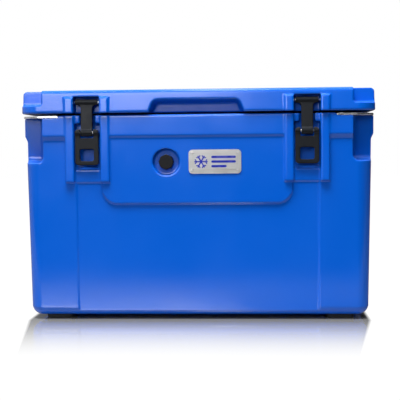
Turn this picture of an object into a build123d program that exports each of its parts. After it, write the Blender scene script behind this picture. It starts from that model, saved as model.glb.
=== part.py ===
from build123d import *
import math
import os

# Rotomoulded cooler chest. Millimetres, +Z up, front towards -Y, right end towards +X.
# The origin is on the ground, at the middle of the chest's footprint.

# Overall sizes
lid_length = 700.0
lid_width = 420.0
foot_height = 8.0
rim_height = 406.0  # top of the tub's rim above the ground
lid_gap = 4.0  # between the rim and the lid, where the gasket sits
lid_height = 45.0

# Tub
lid_overhang = 5.0  # the lid stands this far outside the rim band at the front and back
end_overhang = 2.0  # and this far at the ends
band_proud = 5.0  # the rim band stands this far outside the wall below it
band_depth = 40.0
band_chamfer = 11.0
wall_draft = 1.07  # degrees
tub_corner = 36.0
tub_foot_round = 20.0
rim_round = 3.0
skin = 4.0
foam_clearance = 0.3
side_wall = 55.0  # rim width at the front and back
end_wall = 63.0  # rim width at the ends
floor_thickness = 55.0
mouth_corner = 30.0
mouth_draft = 1.5
mouth_foot_round = 18.0

# Front and back panels
label_panel_length = 374.0
label_panel_drop = 175.5  # from the rim to the panel's lower edge
label_panel_corner = 30.0
label_panel_proud = 2.0
field_inset = 109.0  # from the band's end to the seam at each end of the sunk field
field_bottom = 17.0
field_depth = 2.5

# Latch stations
latch_inset = 134.5  # from the lid's end to the latch's middle
channel_half = 26.0
rib_width = 17.5
rib_drop = 132.0  # from the rim to the ribs' lower ends
rib_round = 2.5
rib_proud = 2.0  # the ribs stand this far outside the rim band
channel_depth = 21.0  # from the band's face to the channel's floor
scoop_drop = 100.0  # from the rim to where the channel's floor starts to lean out
scoop_height = 8.0
scoop_round = 15.0
catch_slot_half = 15.0
catch_drop = 16.5  # how far the two catches reach below the rim
catch_recess = 7.0  # the catches' faces behind the band's face
catch_round = 4.0

# Latches
head_recess = 3.0  # the link's upper pin behind the band's face
head_rise = 21.7  # and above the lid's lower edge
head_radius = 5.7
head_half = 22.3
knuckle_proud = 0.5  # the lever's pin in front of the band's face
knuckle_drop = 34.0  # and below the rim
link_half = 11.3
link_thickness = 6.5
link_fillet = 8.0
link_end_radius = 7.5
lever_half = 23.1
lever_thickness = 7.0
lever_arm = 10.0
lever_knuckle_radius = 6.5
lever_reach = 64.0  # from its pin to its lower end
lever_plate_drop = 11.0  # from its pin to the plate between the arms
lever_corner = 7.0
lever_hole_half = 13.9
lever_hole_drop = 32.6
lever_hole_height = 23.4
lever_hole_corner = 4.0
pin_radius = 2.5
pin_clearance = 0.05
lid_pin_half = 33.0

# Lid
lid_corner = 38.0
lid_draft = 1.5
lid_top_round = 8.0
lid_skin = 3.8
plug_clearance = 5.0
plug_depth = 16.0
lid_pad_proud = 4.0
lid_pad_height = 30.7
lid_pad_round = 2.5
lid_pocket_height = 32.0
lid_pocket_depth = 23.0
grip_bottom_half = 94.0
grip_top_half = 84.0
grip_height = 25.5
grip_round = 14.0
grip_depth = 24.0
grip_taper = 14.5
top_panel_inset = 48.0
top_panel_depth = 3.0
top_panel_corner = 26.0
gasket_width = 7.0
gasket_inset = 4.5  # from the mouth's edge to the gasket
gasket_groove = 3.0
gasket_clearance = 0.3

# Padlock corners
notch_length = 43.7  # along the front, from the band's end
notch_depth = 35.0  # from the band's face
lip_height = 15.5  # of the lid's lip below the notch
notch_round = 10.0
pocket_depth = 40.0
pocket_height = 93.0
pocket_round = 12.0
plate_thickness = 4.0
plate_drop = 1.0  # top of the plate below the rim
plate_front_strip = 36.0
plate_side_strip = 45.0
plate_front_reach = 76.0  # from the band's end
plate_side_reach = 75.0  # from the band's face
plate_margin = 1.0
shackle_radius = 5.5
shackle_end_inset = 23.0
shackle_face_inset = 18.0
plate_screw_radius = 2.5
plate_screw_length = 18.0
plate_screw_head = 4.6
plate_screw_head_height = 2.0
plate_screw_insets = ((64.0, 19.0), (25.0, 59.0))  # from the band's end and face

# Hinges
hinge_proud = 2.0  # the hinge line behind the band's back face
hinge_inset = 190.0  # from the lid's end to the hinge's middle
hinge_half = 45.0
hinge_middle_half = 24.5
hinge_side_gap = 0.5
hinge_knuckle = 7.0
hinge_turn_room = 1.5
rod_radius = 3.5
rod_clearance = 0.05
cap_radius = 5.0
cap_thickness = 3.0
hinge_support_drop = 33.0
hinge_support_rise = 22.0

# Badge
badge_x = 35.7
badge_drop = 93.0  # from the rim to the badge's and the vent's middle
badge_length = 103.0
badge_height = 47.0
badge_corner = 7.5
badge_thickness = 1.5
rivet_inset = 6.5
rivet_radius = 1.6
rivet_head = 3.0
rivet_head_height = 1.2
rivet_depth = 4.0
rivet_clearance = 0.05
rivet_tip_gap = 0.5  # between the rivet's tip and the bottom of its hole
emblem_relief = 0.5
crystal_x = -27.0  # middle of the snow crystal, from the middle of the badge
crystal_span = 26.0
crystal_arm = 2.6
branch_start = 8.6
branch_length = 5.6
branch_width = 2.0
branch_angle = 55.0
bars_start = -7.0
bar_lengths = (48.0, 48.0, 30.0)
bar_width = 4.6
bar_step = 9.0

# Vent
vent_x = -60.3
vent_recess_radius = 26.4
vent_recess_depth = 15.0  # from the band's face
vent_flange_radius = 12.0
vent_flange = 3.0
vent_tube_radius = 9.5
vent_stem_radius = 5.0
vent_seal_radius = 8.5
vent_seal_thickness = 1.5
vent_knob_radius = 14.9
vent_knob_flat = 0.94  # how far the eight flats are cut in, as a share of the radius
vent_knob_thickness = 7.0
vent_knob_sides = 8
vent_knob_round = 1.2
vent_nut_across = 30.0
vent_nut_thickness = 6.0

# Drain
drain_recess_radius = 30.0
drain_recess_depth = 17.0
drain_flange_radius = 24.0
drain_flange = 4.0
drain_tube_radius = 12.0
drain_bore_radius = 8.5
drain_seal_thickness = 2.0
drain_seal_radius = 12.5
drain_cap_radius = 19.0
drain_cap_thickness = 8.0
drain_cap_grips = 12
drain_cap_grip_radius = 2.2
drain_cap_round = 2.0
drain_stem = 34.0
drain_nut_across = 36.0
drain_nut_thickness = 8.0
sump_depth = 13.0  # a small well in the floor, so that the bore's lowest point is level with the floor
sump_length = 45.0
sump_round = 8.0

# Both screwed fittings
fit_gap = 0.05  # running clearance of a stem in its bore
hole_gap = 0.1  # a tube in the hole that it passes through
face_gap = 0.05
spot_margin = 2.5  # a spot face is this much larger than its nut
spot_depth = 1.0  # how far a spot face goes into the leaning inner wall
tube_end = 2.0  # how far a tube stands out of its nut

# End grips
end_grip_half = 72.0
end_grip_drop = 34.0  # from the rim to the ceiling's outer edge
end_grip_height = 76.0
end_grip_depth = 37.0
end_grip_round = 9.0
end_grip_slope = 12.0  # how far the ceiling rises towards the back of the grip

# Feet
foot_size = 53.0
foot_end_inset = 66.0  # from the band's end to the foot's middle
foot_side_inset = 60.0
foot_corner = 8.0
foot_seat = 2.0
foot_clearance = 0.3
foot_edge_round = 2.0
foot_screw_radius = 2.4
foot_screw_head = 5.0
foot_screw_head_height = 3.0
foot_screw_recess = 2.0
foot_screw_length = 16.0
foot_screw_clearance = 0.05
foot_screw_room = 1.0  # between a screw's head and the recess around it
boss_radius = 9.0
boss_cap = 4.0  # skin beyond a screw's tip

# Derived planes and half sizes
lid_bottom = rim_height + lid_gap
lid_top = lid_bottom + lid_height
tub_base = foot_height
band_half_x = lid_length / 2 - end_overhang
band_half_y = lid_width / 2 - lid_overhang
band_bottom = rim_height - band_depth
wall_top = band_bottom - band_chamfer
wall_half_x = band_half_x - band_proud
wall_half_y = band_half_y - band_proud
wall_corner = tub_corner - band_proud
mouth_half_x = band_half_x - end_wall
mouth_half_y = band_half_y - side_wall
floor_top = tub_base + floor_thickness
cavity_top = rim_height - 6.0
draft_slope = math.tan(math.radians(wall_draft))
mouth_slope = math.tan(math.radians(mouth_draft))
plate_top = rim_height - plate_drop
plate_bottom = plate_top - plate_thickness
hinge_z = rim_height + lid_gap / 2
catch_bottom = rim_height - catch_drop
drain_z = floor_top + drain_bore_radius
lid_slope = math.tan(math.radians(lid_draft))
latch_x = lid_length / 2 - latch_inset
hinge_x = lid_length / 2 - hinge_inset
hinge_y = band_half_y + hinge_proud
rib_bottom = rim_height - rib_drop
field_top = rib_bottom
field_length = 2 * (band_half_x - field_inset)
label_panel_bottom = rim_height - label_panel_drop
channel_back = band_half_y - channel_depth
scoop_top = rim_height - scoop_drop
scoop_bottom = scoop_top - scoop_height
catch_front = band_half_y - catch_recess
head_y = -band_half_y + head_recess
head_z = lid_bottom + head_rise
knuckle_y = -band_half_y - knuckle_proud
knuckle_z = rim_height - knuckle_drop
lever_bottom = knuckle_z - lever_reach
lever_plate_top = knuckle_z - lever_plate_drop
lever_hole_top = knuckle_z - lever_hole_drop
lever_hole_bottom = lever_hole_top - lever_hole_height
lid_pocket_back = lid_width / 2 - lid_pocket_depth
notch_start = band_half_x - notch_length
notch_back = band_half_y - notch_depth
notch_floor = lid_bottom + lip_height
pocket_back = band_half_y - pocket_depth
pocket_bottom = rim_height - pocket_height
plate_inner_x = band_half_x - plate_front_reach
plate_inner_y = band_half_y - plate_side_reach
shackle_x = band_half_x - shackle_end_inset
shackle_y = -band_half_y + shackle_face_inset
plate_screw_spots = [(band_half_x - x, -band_half_y + y) for x, y in plate_screw_insets]
badge_z = rim_height - badge_drop
vent_z = badge_z
vent_recess_back = band_half_y - vent_recess_depth
end_grip_top = rim_height - end_grip_drop
end_grip_bottom = end_grip_top - end_grip_height
foot_x = band_half_x - foot_end_inset
foot_y = band_half_y - foot_side_inset
hex_corner = 1 / math.cos(math.radians(30))  # corner radius of a hexagon over its flat radius
beyond = 30.0  # how far a cutter runs past what it cuts


# A block whose sides lean in towards its bottom. Its sizes are those at "level".
def leaning_block(half_x, half_y, corner, level, low, high, slope):
    grow = (low - level) * slope
    bottom = Plane.XY.offset(low) * RectangleRounded(2 * (half_x + grow), 2 * (half_y + grow), corner + grow)
    return extrude(bottom, amount=high - low, taper=-math.degrees(math.atan(slope)))


def upright_block(half_x, half_y, corner, low, high):
    outline = RectangleRounded(2 * half_x, 2 * half_y, corner)
    return extrude(Plane.XY.offset(low) * outline, amount=high - low)


# A box from its lowest to its highest corner
def box_between(low, high):
    size = [high[i] - low[i] for i in range(3)]
    middle = [(high[i] + low[i]) / 2 for i in range(3)]
    return Pos(*middle) * Box(*size)


# A cylinder along X, Y or Z from one coordinate to another
def bar(axis, radius, centre, start, end):
    middle = (start + end) / 2
    length = abs(end - start)
    if axis == "X":
        return Pos(middle, centre[0], centre[1]) * Rot(0, 90, 0) * Cylinder(radius, length)
    if axis == "Y":
        return Pos(centre[0], middle, centre[1]) * Rot(90, 0, 0) * Cylinder(radius, length)
    return Pos(centre[0], centre[1], middle) * Cylinder(radius, length)


# A hexagonal nut with its bore, along X or Y
def hex_nut(axis, across, bore, centre, start, end):
    middle = (start + end) / 2
    turn = Rot(0, 90, 0) if axis == "X" else Rot(90, 0, 0)
    spot = (middle, *centre) if axis == "X" else (centre[0], middle, centre[1])
    outline = RegularPolygon(across / 2, 6, major_radius=False)
    nut = Pos(*spot) * turn * extrude(outline, amount=abs(end - start) / 2, both=True)
    return nut - bar(axis, bore, centre, start - 1, end + 1)


# The edges of a shape that run along one axis and pass near a point in the other two
def edges_at(shape, axis, spot, reach=0.5):
    keep = []
    for edge in shape.edges().filter_by(axis):
        middle = edge.center()
        here = {"X": (middle.Y, middle.Z), "Y": (middle.X, middle.Z), "Z": (middle.X, middle.Y)}
        name = "X" if axis == Axis.X else "Y" if axis == Axis.Y else "Z"
        if all(abs(here[name][i] - spot[i]) < reach for i in range(2)):
            keep.append(edge)
    return keep


# The outside of the wall at a height, as a distance from the middle plane
def wall_at(half, height):
    return half - (wall_top - height) * draft_slope


def mouth_at(half, height):
    return half - (rim_height - height) * mouth_slope


# A prism of an XZ outline, through the front half only or right through
def front_prism(outline, start, end):
    return extrude(Plane.XZ.offset(start) * outline, amount=end - start)


# ---- Cutters shared by the skins and the foam: "grow" is the thickness left around them ----


def mouth_block(grow=0.0):
    return leaning_block(
        mouth_half_x + grow,
        mouth_half_y + grow,
        mouth_corner + grow,
        rim_height,
        floor_top - grow,
        rim_height + 1,
        mouth_slope,
    )


def corner_pocket(side, grow=0.0):
    low = (notch_start - grow, -band_half_y - beyond, pocket_bottom - grow)
    high = (band_half_x + beyond, -pocket_back + grow, rim_height + 1)
    pocket = box_between(low, high)
    edges = edges_at(pocket, Axis.Z, (low[0], high[1]))
    edges += edges_at(pocket, Axis.Y, (low[0], low[2]))
    edges += edges_at(pocket, Axis.X, (high[1], low[2]))
    pocket = fillet(edges, pocket_round)
    return pocket if side > 0 else mirror(pocket, about=Plane.YZ)


def latch_channel(side, grow=0.0):
    front = -band_half_y - beyond
    back = -channel_back + grow
    foot_y = -wall_at(wall_half_y, scoop_bottom)
    slope = Polyline(
        (front, scoop_bottom - grow),
        (foot_y, scoop_bottom - grow),
        (back, scoop_top - grow),
        (back, rim_height + 1),
        (front, rim_height + 1),
        close=True,
    )
    profile = make_face(slope)
    corner = profile.vertices().sort_by_distance((back, scoop_top - grow, 0))[0]
    profile = fillet(corner, scoop_round)
    half = channel_half + grow
    channel = extrude(Plane.YZ.offset(side * latch_x - half) * profile, amount=2 * half)
    return channel


def end_grip(side, grow=0.0):
    back = band_half_x - end_grip_depth - grow
    low = end_grip_bottom - grow
    high = end_grip_top + grow
    outline = Polyline(
        (back, low),
        (band_half_x + beyond, low),
        (band_half_x + beyond, high),
        (wall_half_x, high),
        (back, high + end_grip_slope),
        close=True,
    )
    face = Plane.XZ.offset(-(end_grip_half + grow)) * make_face(outline)
    grip = extrude(face, amount=2 * (end_grip_half + grow))
    edges = edges_at(grip, Axis.Y, (back, low)) + edges_at(grip, Axis.Y, (back, high + end_grip_slope))
    for y in (-1, 1):
        edges += edges_at(grip, Axis.Z, (back, y * (end_grip_half + grow)))
    grip = fillet(edges, end_grip_round)
    return grip if side > 0 else mirror(grip, about=Plane.YZ)


def vent_recess(grow=0.0):
    front = -band_half_y - beyond
    return bar("Y", vent_recess_radius + grow, (vent_x, vent_z), front, -vent_recess_back + grow)


def drain_floor_x():
    return wall_at(wall_half_x, drain_z) - drain_recess_depth


def drain_recess(grow=0.0):
    return bar(
        "X", drain_recess_radius + grow, (0, drain_z), drain_floor_x() - grow, band_half_x + beyond
    )


# The bores through the walls, and the solid sleeves of skin around them
def through_bores(grow=0.0):
    vent = bar("Y", vent_tube_radius + hole_gap + grow, (vent_x, vent_z), -band_half_y, 0)
    drain = bar("X", drain_tube_radius + hole_gap + grow, (0, drain_z), 0, band_half_x)
    return vent + drain


def plate_outline(margin):
    strip_x = band_half_x - margin
    strip_y = band_half_y - margin
    front = box_between(
        (plate_inner_x + margin, -strip_y, plate_bottom),
        (strip_x, -band_half_y + plate_front_strip - margin, plate_top),
    )
    side = box_between(
        (band_half_x - plate_side_strip + margin, -strip_y, plate_bottom),
        (strip_x, -plate_inner_y - margin, plate_top),
    )
    block = upright_block(strip_x, strip_y, tub_corner - margin, plate_bottom, plate_top)
    return (front + side) & block


def hinge_spans():
    spans = []
    for side in (-1, 1):
        middle = side * hinge_x
        spans.append((middle - hinge_half, middle - hinge_middle_half - hinge_side_gap))
        spans.append((middle + hinge_middle_half + hinge_side_gap, middle + hinge_half))
    return spans


def hinge_room(start, end, grow=0.0):
    return bar("X", hinge_knuckle + hinge_turn_room + grow, (hinge_y, hinge_z), start, end)


# ---- Tub ----


def rib(side, inner):
    near = channel_half if inner else -channel_half - rib_width
    start = side * latch_x - side * near - (rib_width if side > 0 else 0)
    front = -band_half_y - rib_proud
    box = box_between((start, front, rib_bottom), (start + rib_width, -channel_back - 2, rim_height))
    edges = edges_at(box, Axis.Z, (start, front)) + edges_at(box, Axis.Z, (start + rib_width, front))
    edges += edges_at(box, Axis.X, (front, rib_bottom)) + edges_at(box, Axis.X, (front, rim_height))
    return fillet(edges, rib_round)


def catch(side, inner):
    near = side * latch_x + (-side if inner else side) * catch_slot_half
    far = side * latch_x + (-side if inner else side) * channel_half
    low_x, high_x = min(near, far), max(near, far)
    box = box_between(
        (low_x, -catch_front, catch_bottom), (high_x, -channel_back + 1, rim_height)
    )
    return fillet(edges_at(box, Axis.Y, (near, catch_bottom)), catch_round)


def label_panel():
    grown = leaning_block(
        wall_half_x,
        wall_half_y + label_panel_proud,
        wall_corner,
        wall_top,
        label_panel_bottom - 5,
        band_bottom,
        draft_slope,
    )
    height = band_bottom - label_panel_bottom + 2 * label_panel_corner
    outline = Pos(0, label_panel_bottom + height / 2) * RectangleRounded(
        label_panel_length, height, label_panel_corner
    )
    return grown & front_prism(outline, wall_half_y - 12, band_half_y)


def sunk_field():
    core = leaning_block(
        wall_half_x,
        wall_half_y - field_depth,
        wall_corner,
        wall_top,
        tub_base - 1,
        field_top + 5,
        draft_slope,
    )
    height = field_top - field_bottom
    outline = Pos(0, field_bottom + height / 2) * Rectangle(field_length, height)
    through = front_prism(outline, -band_half_y, band_half_y)
    return through - core


def tub_outside():
    top = rim_height - 1
    body = leaning_block(
        wall_half_x, wall_half_y, wall_corner, wall_top, tub_base, top, draft_slope
    )
    body = fillet(body.faces().sort_by(Axis.Z)[0].edges(), tub_foot_round)
    band = upright_block(band_half_x, band_half_y, tub_corner, band_bottom, rim_height)
    band = fillet(band.faces().sort_by(Axis.Z)[-1].edges(), rim_round)
    under = leaning_block(
        wall_half_x, wall_half_y, wall_corner, wall_top, wall_top, band_bottom, band_proud / band_chamfer
    )
    body = body - sunk_field()
    body = body + under + band
    body = body + label_panel()
    for side in (-1, 1):
        for inner in (True, False):
            body = body + rib(side, inner)
    return body


def hinge_supports():
    shapes = []
    for start, end in hinge_spans():
        knuckle = bar("X", hinge_knuckle, (hinge_y, hinge_z), start, end)
        gusset = Polyline(
            (band_half_y - 4, rim_height),
            (band_half_y - 4, hinge_z - hinge_support_drop),
            (band_half_y, hinge_z - hinge_support_drop),
            (hinge_y + hinge_knuckle, hinge_z),
            (hinge_y, hinge_z),
            close=True,
        )
        arm = extrude(Plane.YZ.offset(start) * make_face(gusset), amount=end - start)
        shapes.append(knuckle + arm)
    return shapes


def foot_spots():
    return [(x * foot_x, y * foot_y) for y in (-1, 1) for x in (-1, 1)]


def tub_cavity(grow=0.0):
    around = skin + grow
    core = leaning_block(
        wall_half_x - around,
        wall_half_y - field_depth - around,
        wall_corner - around,
        wall_top,
        tub_base + around,
        cavity_top - grow,
        draft_slope,
    )
    core = fillet(core.faces().sort_by(Axis.Z)[0].edges(), tub_foot_round - around)
    core = core - mouth_block(around)
    for side in (-1, 1):
        core = core - corner_pocket(side, around)
        core = core - latch_channel(side, around)
        core = core - end_grip(side, around)
        for x, y in plate_screw_spots:
            core = core - bar("Z", boss_radius + grow, (side * x, y), plate_bottom - 30, rim_height)
    core = core - vent_recess(around) - drain_recess(around) - through_bores(around)
    core = core - vent_seat(around) - sump(around)
    for x, y in foot_spots():
        core = core - bar("Z", boss_radius + grow, (x, y), 0, foot_screw_top() + boss_cap + grow)
    return core


def tub_skin():
    body = tub_outside()
    mouth = mouth_block()
    body = body - fillet(mouth.faces().sort_by(Axis.Z)[0].edges(), mouth_foot_round)
    for side in (-1, 1):
        body = body - corner_pocket(side)
        body = body - latch_channel(side)
        body = body + catch(side, True) + catch(side, False)
        body = body - end_grip(side)
        seat = plate_outline(0.0)
        seat = seat if side > 0 else mirror(seat, about=Plane.YZ)
        body = body - seat - Pos(0, 0, plate_drop) * seat
        middle = side * hinge_x
        body = body - hinge_room(
            middle - hinge_middle_half - hinge_side_gap, middle + hinge_middle_half + hinge_side_gap
        )
        for x, y in plate_screw_spots:
            body = body - bar(
                "Z",
                plate_screw_radius + foot_screw_clearance,
                (side * x, y),
                plate_top - plate_screw_length - 1,
                rim_height,
            )
    for support in hinge_supports():
        body = body + support
    for side in (-1, 1):
        middle = side * hinge_x
        body = body - bar(
            "X", rod_radius + rod_clearance, (hinge_y, hinge_z), middle - hinge_half, middle + hinge_half
        )
        for end in (-1, 1):
            face = middle + end * hinge_half
            body = body - bar(
                "X", cap_radius, (hinge_y, hinge_z), face - end * cap_thickness, face + end
            )
    body = body - vent_recess() - drain_recess() - through_bores()
    body = body - vent_seat() - sump()
    for x, y in foot_spots():
        seat = upright_block(
            foot_size / 2 + foot_clearance,
            foot_size / 2 + foot_clearance,
            foot_corner + foot_clearance,
            tub_base - 1,
            tub_base + foot_seat,
        )
        body = body - Pos(x, y, 0) * seat
        body = body - bar(
            "Z", foot_screw_radius + foot_screw_clearance, (x, y), tub_base, foot_screw_top() + 1
        )
    for x, z in rivet_spots():
        body = body - badge_plane(x, z) * Pos(0, 0, -rivet_depth / 2) * Cylinder(
            rivet_radius + rivet_clearance, rivet_depth
        )
    return body - tub_cavity()


def vent_inner_y():
    return -mouth_at(mouth_half_y, vent_z) - spot_depth


def drain_inner_x():
    return mouth_at(mouth_half_x, drain_z) + spot_depth


# A flat seat for the vent's nut on the leaning inner wall
def vent_seat(grow=0.0):
    radius = vent_nut_across / 2 * hex_corner + spot_margin + grow
    return bar("Y", radius, (vent_x, vent_z), vent_inner_y() - grow, 0)


# A well in the floor whose end wall is the flat seat of the drain's nut
def sump(grow=0.0):
    radius = drain_nut_across / 2 * hex_corner + spot_margin + grow
    low = (drain_inner_x() - sump_length - grow, -radius, floor_top - sump_depth - grow)
    high = (drain_inner_x() + grow, radius, drain_z + radius)
    well = box_between(low, high)
    edges = edges_at(well, Axis.Y, (low[0], low[2]))
    for y in (-radius, radius):
        edges += edges_at(well, Axis.Z, (low[0], y)) + edges_at(well, Axis.X, (y, low[2]))
    return fillet(edges, sump_round)


# ---- Lid ----


def lid_notch(side, grow=0.0):
    low = (notch_start - grow, -lid_width, notch_floor - grow)
    high = (lid_length, -notch_back + grow, lid_top + 10)
    notch = box_between(low, high)
    edges = edges_at(notch, Axis.Z, (low[0], high[1]))
    edges += edges_at(notch, Axis.Y, (low[0], low[2]))
    edges += edges_at(notch, Axis.X, (high[1], low[2]))
    notch = fillet(edges, notch_round / 2)
    return notch if side > 0 else mirror(notch, about=Plane.YZ)


# The corner below a notch is solid plastic: the foam stops short of it at every height
def lid_lip(side, grow):
    low = (notch_start - grow, -lid_width, lid_bottom - plug_depth)
    high = (lid_length, -notch_back + grow, lid_top)
    lip = box_between(low, high)
    return lip if side > 0 else mirror(lip, about=Plane.YZ)


def lid_pocket(side, grow=0.0, room=0.0):
    half = channel_half + grow + room
    return box_between(
        (side * latch_x - half, -lid_width, lid_bottom - plug_depth),
        (side * latch_x + half, -lid_pocket_back + grow, lid_bottom + lid_pocket_height + grow),
    )


def lid_grip(grow=0.0):
    low = lid_bottom - 10 - grow
    top = lid_bottom + grip_height + grow
    outline = Polyline(
        (-grip_bottom_half - grow, low),
        (grip_bottom_half + grow, low),
        (grip_bottom_half + grow, lid_bottom),
        (grip_top_half + grow, top),
        (-grip_top_half - grow, top),
        (-grip_bottom_half - grow, lid_bottom),
        close=True,
    )
    face = make_face(outline)
    corners = face.vertices().sort_by(Axis.Y)[-2:]
    face = fillet(corners, grip_round)
    front = lid_width / 2
    deep = extrude(Plane.XZ.offset(front) * face, amount=-grip_depth - grow, taper=grip_taper)
    return deep + extrude(Plane.XZ.offset(front) * face, amount=10)


def lid_supports():
    shapes = []
    for side in (-1, 1):
        start = side * hinge_x - hinge_middle_half
        knuckle = bar("X", hinge_knuckle, (hinge_y, hinge_z), start, start + 2 * hinge_middle_half)
        web = Polyline(
            (hinge_y - 4, lid_bottom + 1),
            (hinge_y - 4, hinge_z + hinge_support_rise),
            (lid_width / 2, hinge_z + hinge_support_rise),
            (hinge_y + hinge_knuckle, hinge_z),
            (hinge_y, hinge_z),
            close=True,
        )
        arm = extrude(Plane.YZ.offset(start) * make_face(web), amount=2 * hinge_middle_half)
        shapes.append(knuckle + arm)
    return shapes


def lid_pad(side, inner):
    near = channel_half if inner else -channel_half - rib_width
    start = side * latch_x - side * near - (rib_width if side > 0 else 0)
    front = -lid_width / 2 - lid_pad_proud
    box = box_between(
        (start, front, lid_bottom), (start + rib_width, -lid_pocket_back - 2, lid_bottom + lid_pad_height)
    )
    edges = edges_at(box, Axis.Z, (start, front)) + edges_at(box, Axis.Z, (start + rib_width, front))
    edges += edges_at(box, Axis.X, (front, lid_bottom + lid_pad_height))
    return fillet(edges, lid_pad_round)


def plug_half():
    return (mouth_half_x - plug_clearance, mouth_half_y - plug_clearance)


def gasket_block(grow, low, high):
    inner_x = mouth_half_x + gasket_inset
    inner_y = mouth_half_y + gasket_inset
    outer = upright_block(
        inner_x + gasket_width + grow,
        inner_y + gasket_width + grow,
        mouth_corner + gasket_inset + gasket_width + grow,
        low,
        high,
    )
    return outer - upright_block(
        inner_x - grow, inner_y - grow, mouth_corner + gasket_inset - grow, low - 1, high + 1
    )


def lid_cavity(grow=0.0):
    around = lid_skin + grow
    core = leaning_block(
        lid_length / 2 - around,
        lid_width / 2 - around,
        lid_corner - around,
        lid_bottom,
        lid_bottom + gasket_groove + around,
        lid_top - top_panel_depth - around,
        -lid_slope,
    )
    half_x, half_y = plug_half()
    core = core + upright_block(
        half_x - around,
        half_y - around,
        mouth_corner - around,
        lid_bottom - plug_depth + around,
        lid_bottom + gasket_groove + around + 1,
    )
    for side in (-1, 1):
        core = core - lid_lip(side, around)
        core = core - lid_pocket(side, around, lid_pin_half - channel_half)
        middle = side * hinge_x
        core = core - hinge_room(middle - hinge_half - around, middle + hinge_half + around, around)
    return core - lid_grip(around)


def lid_skin_shape():
    body = leaning_block(
        lid_length / 2, lid_width / 2, lid_corner, lid_bottom, lid_bottom, lid_top, -lid_slope
    )
    body = fillet(body.faces().sort_by(Axis.Z)[-1].edges(), lid_top_round)
    body = fillet(body.faces().sort_by(Axis.Z)[0].edges(), rim_round)
    panel = upright_block(
        lid_length / 2 - top_panel_inset,
        lid_width / 2 - top_panel_inset,
        top_panel_corner,
        lid_top - top_panel_depth,
        lid_top + 1,
    )
    body = body - panel
    half_x, half_y = plug_half()
    plug = upright_block(half_x, half_y, mouth_corner, lid_bottom - plug_depth, lid_bottom + 1)
    plug = fillet(plug.faces().sort_by(Axis.Z)[0].edges(), rim_round)
    body = body + plug
    groove_top = lid_bottom + gasket_groove
    body = body - gasket_block(gasket_clearance, lid_bottom - 1, groove_top)
    for side in (-1, 1):
        for inner in (True, False):
            body = body + lid_pad(side, inner)
    for side in (-1, 1):
        body = body - lid_notch(side)
        body = body - lid_pocket(side)
        body = body - bar("Z", shackle_radius, (side * shackle_x, shackle_y), lid_bottom - 1, notch_floor + 1)
        body = body - bar(
            "X",
            pin_radius + pin_clearance,
            (head_y, head_z),
            side * latch_x - lid_pin_half,
            side * latch_x + lid_pin_half,
        )
    body = body - lid_grip()
    for start, end in hinge_spans():
        body = body - hinge_room(start - hinge_side_gap, end + hinge_side_gap)
    for support in lid_supports():
        body = body + support
    for side in (-1, 1):
        middle = side * hinge_x
        body = body - bar(
            "X", rod_radius + rod_clearance, (hinge_y, hinge_z), middle - hinge_half, middle + hinge_half
        )
    return body - lid_cavity()


# ---- Latches ----


def latch_link(side):
    head = bar("X", head_radius, (0, 0), -head_half, head_half)
    lean = math.degrees(math.atan2(head_y - knuckle_y, head_z - knuckle_z))
    length = math.hypot(head_y - knuckle_y, head_z - knuckle_z)
    neck = box_between(
        (-link_half, -link_thickness / 2, -length), (link_half, link_thickness / 2, 0)
    )
    shoulder_half = link_half + link_fillet
    shoulder = box_between(
        (-shoulder_half, -link_thickness / 2, -head_radius - link_fillet),
        (shoulder_half, link_thickness / 2, 0),
    )
    for turn in (-1, 1):
        middle = (turn * shoulder_half, -head_radius - link_fillet)
        shoulder = shoulder - bar("Y", link_fillet, middle, -link_thickness, link_thickness)
    knuckle = bar("X", link_end_radius, (0, -length), -link_half, link_half)
    link = head + neck + shoulder + knuckle
    link = link - bar("X", pin_radius + pin_clearance, (0, 0), -head_half - 1, head_half + 1)
    link = link - bar("X", pin_radius + pin_clearance, (0, -length), -head_half - 1, head_half + 1)
    return Pos(side * latch_x, head_y, head_z) * Rot(-lean, 0, 0) * link


def latch_lever(side):
    height = knuckle_z + lever_knuckle_radius - lever_bottom
    middle_z = (knuckle_z + lever_knuckle_radius + lever_bottom) / 2
    low_y = knuckle_y - lever_thickness / 2
    high_y = knuckle_y + lever_thickness / 2
    plate = box_between((-lever_half, low_y, lever_bottom), (lever_half, high_y, knuckle_z))
    knuckles = bar("X", lever_knuckle_radius, (knuckle_y, knuckle_z), -lever_half, lever_half)
    outline = Pos(0, middle_z) * RectangleRounded(2 * lever_half, height, lever_corner)
    body = (plate + knuckles) & front_prism(outline, -knuckle_y - 20, -knuckle_y + 20)
    inner = lever_half - lever_arm
    body = body - box_between((-inner, low_y - 10, lever_plate_top), (inner, high_y + 10, knuckle_z + 20))
    hole_height = lever_hole_top - lever_hole_bottom
    hole = Pos(0, (lever_hole_top + lever_hole_bottom) / 2) * RectangleRounded(
        2 * lever_hole_half, hole_height, lever_hole_corner
    )
    body = body - front_prism(hole, -knuckle_y - 20, -knuckle_y + 20)
    bore = pin_radius + pin_clearance
    body = body - bar("X", bore, (knuckle_y, knuckle_z), -lever_half - 1, lever_half + 1)
    return Pos(side * latch_x, 0, 0) * body


def latch_pin(side, spot, half):
    return bar("X", pin_radius, spot, side * latch_x - half, side * latch_x + half)


# ---- Badge ----


# A plane on the label panel at x and z, looking straight out of the leaning wall
def badge_plane(x, z):
    lean = math.radians(wall_draft)
    y = -wall_at(wall_half_y + label_panel_proud, z)
    return Plane(origin=(x, y, z), x_dir=(1, 0, 0), z_dir=(0, -math.cos(lean), -math.sin(lean)))


def rivet_spots():
    span_x = badge_length / 2 - rivet_inset
    span_z = badge_height / 2 - rivet_inset
    return [(badge_x + x * span_x, badge_z + z * span_z) for z in (-1, 1) for x in (-1, 1)]


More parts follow.
